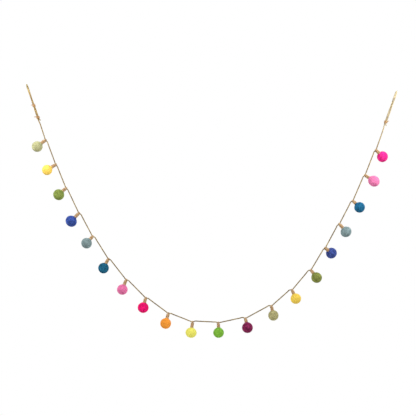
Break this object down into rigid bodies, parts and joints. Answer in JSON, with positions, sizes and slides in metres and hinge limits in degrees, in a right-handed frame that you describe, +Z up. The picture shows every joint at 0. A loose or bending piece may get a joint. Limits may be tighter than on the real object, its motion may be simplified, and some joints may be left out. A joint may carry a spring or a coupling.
{
  "type": "felt ball lightbulb garland",
  "caption": "Twine garland hung by a loop at each end, with bright felted wool balls on short jute-wound necks, like a string of light bulbs.",
  "frame": {"origin": "inside top of the left hanging loop, where a hook would carry it", "axes": "+Z up, +X from the left loop towards the right loop, +Y away from the viewer, into the wall it hangs on"},
  "size_m": [0.8907, 0.0455, 0.6083],
  "materials": {
    "felt_sage": "felted wool, pale sage",
    "felt_yellow": "felted wool, warm yellow",
    "felt_olive": "felted wool, olive green",
    "felt_royal_blue": "felted wool, royal blue",
    "felt_grey_teal": "felted wool, soft grey teal",
    "felt_teal": "felted wool, deep teal blue",
    "felt_pink": "felted wool, candy pink",
    "felt_hot_pink": "felted wool, hot pink",
    "felt_orange": "felted wool, orange",
    "felt_lemon": "felted wool, lemon",
    "felt_green": "felted wool, bright leaf green",
    "felt_plum": "felted wool, dark plum",
    "jute": "natural jute twine, twisted, matt and hairy",
    "pale_jute": "natural jute twine, paler straw colour at the ends"
  },
  "bodies": {
    "root": {"twine": "jute", "knot_left_upper": "pale_jute", "knot_left_lower": "pale_jute", "knot_right": "pale_jute", "neck_01": "jute", "neck_02": "jute", "neck_03": "jute", "neck_04": "jute", "neck_05": "jute", "neck_06": "jute", "neck_07": "jute", "neck_08": "jute", "neck_09": "jute", "neck_10": "jute", "neck_11": "jute", "neck_12": "jute", "neck_13": "jute", "neck_14": "jute", "neck_15": "jute", "neck_16": "jute", "neck_17": "jute", "neck_18": "jute", "neck_19": "jute", "neck_20": "jute", "ball_01": "felt_sage", "ball_02": "felt_yellow", "ball_03": "felt_olive", "ball_04": "felt_royal_blue", "ball_05": "felt_grey_teal", "ball_06": "felt_teal", "ball_07": "felt_pink", "ball_08": "felt_hot_pink", "ball_09": "felt_orange", "ball_10": "felt_lemon", "ball_11": "felt_green", "ball_12": "felt_plum", "ball_13": "felt_sage", "ball_14": "felt_yellow", "ball_15": "felt_olive", "ball_16": "felt_royal_blue", "ball_17": "felt_grey_teal", "ball_18": "felt_teal", "ball_19": "felt_pink", "ball_20": "felt_hot_pink"}
  },
  "joints": []
}
